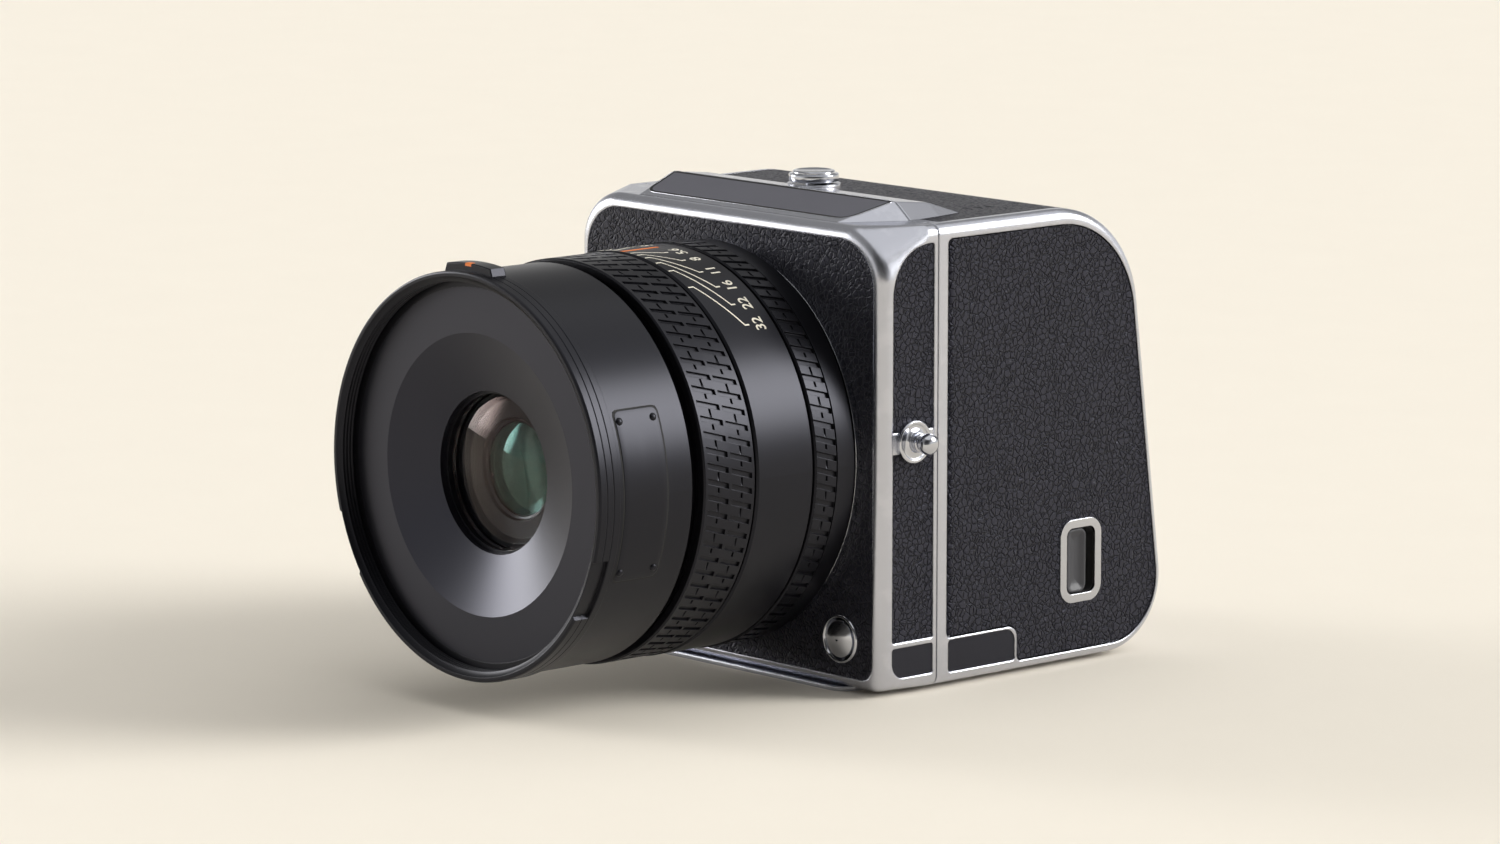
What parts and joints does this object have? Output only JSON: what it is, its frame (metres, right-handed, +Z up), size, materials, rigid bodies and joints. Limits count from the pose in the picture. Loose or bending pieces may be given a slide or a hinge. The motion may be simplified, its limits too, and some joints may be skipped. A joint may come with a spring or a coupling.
{
  "type": "medium format digital camera",
  "caption": "Box-shaped modular camera: slim leather-clad front with a wide lens, deep digital back with a tilting rear screen.",
  "frame": {"origin": "mouth of the tripod socket on the underside of the base plate", "axes": "+Z up, the lens looks along -Y, +X is the battery door's side"},
  "size_m": [0.0962, 0.1408, 0.0939],
  "materials": {
    "frame_chrome": "satin chrome plating",
    "polished_chrome": "polished chrome",
    "leather": "pebbled black leather",
    "badge_black": "gloss black",
    "label_grey": "matt dark grey",
    "steel": "plain steel",
    "black_plastic": "matt black",
    "foot_black": "matt black rubber",
    "card_blue": "matt dark blue",
    "rear_black": "satin black paint",
    "sensor_filter": "clear coated glass",
    "sensor_green": "dark iridescent silicon",
    "board_green": "green board",
    "lens_black": "satin black anodised",
    "name_ring_black": "satin dark grey anodised",
    "lens_glass": "coated optical glass",
    "blade_steel": "dark spring steel",
    "latch_grey": "dark grey",
    "screen_glass": "black glass",
    "button_grey": "dark grey"
  },
  "bodies": {
    "front_body": {"front_housing": "frame_chrome", "front_leather": "leather", "front_side_leather": "leather", "front_badge_plate": "badge_black", "top_plate": "label_grey", "base_plate": "frame_chrome", "tripod_socket": "steel", "strap_lugs": "polished_chrome", "release_bezel": "polished_chrome", "mount_ring": "polished_chrome", "mount_screws": "steel", "body_contacts": "black_plastic"},
    "lens_release": {"lens_release_button": "polished_chrome"},
    "control_wheel": {"control_wheel": "polished_chrome"},
    "shutter_button": {"shutter_button": "polished_chrome"},
    "digital_back": {"back_housing": "frame_chrome", "foot_plate": "foot_black", "top_leather": "leather", "back_side_leather": "leather", "back_badge_plate": "badge_black", "hinge_pins": "steel", "battery": "black_plastic", "memory_cards": "card_blue", "port_block": "black_plastic", "port_sockets": "steel", "rear_plate": "rear_black", "sensor_plate": "rear_black", "filter_glass": "sensor_filter", "sensor": "sensor_green", "sensor_board": "board_green", "main_board": "board_green"},
    "release_slider": {"release_slider": "polished_chrome"},
    "battery_door": {"battery_door": "rear_black", "door_leather": "leather", "latch_bezel": "polished_chrome"},
    "latch": {"latch_slider": "latch_grey"},
    "port_door": {"port_door": "leather"},
    "screen": {"screen_frame": "rear_black", "screen_glass": "screen_glass"},
    "lens": {"lens_flange": "polished_chrome", "lens_barrel": "lens_black", "scale_barrel": "lens_black", "front_barrel": "lens_black", "filter_rim": "lens_black", "name_ring": "name_ring_black", "lens_cells": "lens_black", "front_glass": "lens_glass", "inner_glass": "lens_glass", "shutter_unit": "lens_black", "shutter_blades": "blade_steel", "barrel_plate": "badge_black", "barrel_rivets": "steel"},
    "focus_sleeve": {"focus_sleeve": "lens_black"},
    "focus_ring": {"focus_ring": "lens_black"},
    "control_ring": {"control_ring": "lens_black"},
    "rear_button_1": {"rear_button_1": "button_grey"},
    "rear_button_2": {"rear_button_2": "button_grey"},
    "rear_button_3": {"rear_button_3": "button_grey"},
    "rear_button_4": {"rear_button_4": "button_grey"},
    "rear_button_5": {"rear_button_5": "button_grey"}
  },
  "joints": [
    {"name": "back_tilt", "type": "hinge", "parent": "front_body", "child": "digital_back", "pos_m": [0, 0.0066, 0], "axis": [-1, 0, 0], "range_deg": [0, 15]},
    {"name": "lens_twist", "type": "hinge", "parent": "front_body", "child": "lens", "pos_m": [0, -0.0076, 0.04445], "axis": [0, -1, 0], "range_deg": [0, 60]},
    {"name": "lens_release_press", "type": "slide", "parent": "front_body", "child": "lens_release", "axis": [0, 1, 0], "range_m": [0, 0.002], "stiffness_N_per_m": 600, "springref_m": -0.0015},
    {"name": "control_wheel_turn", "type": "hinge", "parent": "front_body", "child": "control_wheel", "pos_m": [-0.0324, -0.0076, 0.0108], "axis": [0, -1, 0], "continuous": true},
    {"name": "shutter_press", "type": "slide", "parent": "front_body", "child": "shutter_button", "axis": [0, 1, 0], "range_m": [0, 0.0012], "stiffness_N_per_m": 600, "springref_m": -0.001},
    {"name": "back_release_slide", "type": "slide", "parent": "digital_back", "child": "release_slider", "axis": [1, 0, 0], "range_m": [0, 0.0025], "stiffness_N_per_m": 500, "springref_m": -0.001},
    {"name": "battery_door_swing", "type": "hinge", "parent": "digital_back", "child": "battery_door", "pos_m": [0.04105, 0.0109, 0], "axis": [0, 0, -1], "range_deg": [0, 90]},
    {"name": "latch_slide", "type": "slide", "parent": "battery_door", "child": "latch", "axis": [0, 1, 0], "range_m": [0, 0.002], "stiffness_N_per_m": 300, "springref_m": -0.001},
    {"name": "port_door_swing", "type": "hinge", "parent": "digital_back", "child": "port_door", "pos_m": [-0.04105, 0.0378, 0], "axis": [0, 0, 1], "range_deg": [0, 90]},
    {"name": "screen_tilt", "type": "hinge", "parent": "digital_back", "child": "screen", "pos_m": [0, 0.05906, 0.06563], "axis": [1, 0, 0], "range_deg": [0, 90]},
    {"name": "focus_shift", "type": "slide", "parent": "lens", "child": "focus_sleeve", "axis": [0, -1, 0], "range_m": [0, 0.0023]},
    {"name": "focus_turn", "type": "hinge", "parent": "focus_sleeve", "child": "focus_ring", "pos_m": [0, -0.0076, 0.04445], "axis": [0, -1, 0], "range_deg": [0, 120]},
    {"name": "control_ring_turn", "type": "hinge", "parent": "lens", "child": "control_ring", "pos_m": [0, -0.0076, 0.04445], "axis": [0, -1, 0], "continuous": true},
    {"name": "rear_button_1_press", "type": "slide", "parent": "digital_back", "child": "rear_button_1", "axis": [0, -0.9914, -0.1306], "range_m": [0, 0.0006], "stiffness_N_per_m": 500, "springref_m": -0.0008},
    {"name": "rear_button_2_press", "type": "slide", "parent": "digital_back", "child": "rear_button_2", "axis": [0, -0.9914, -0.1306], "range_m": [0, 0.0006], "stiffness_N_per_m": 500, "springref_m": -0.0008},
    {"name": "rear_button_3_press", "type": "slide", "parent": "digital_back", "child": "rear_button_3", "axis": [0, -0.9914, -0.1306], "range_m": [0, 0.0006], "stiffness_N_per_m": 500, "springref_m": -0.0008},
    {"name": "rear_button_4_press", "type": "slide", "parent": "digital_back", "child": "rear_button_4", "axis": [0, -0.9914, -0.1306], "range_m": [0, 0.0006], "stiffness_N_per_m": 500, "springref_m": -0.0008},
    {"name": "rear_button_5_press", "type": "slide", "parent": "digital_back", "child": "rear_button_5", "axis": [0, -0.9914, -0.1306], "range_m": [0, 0.0006], "stiffness_N_per_m": 500, "springref_m": -0.0008}
  ]
}
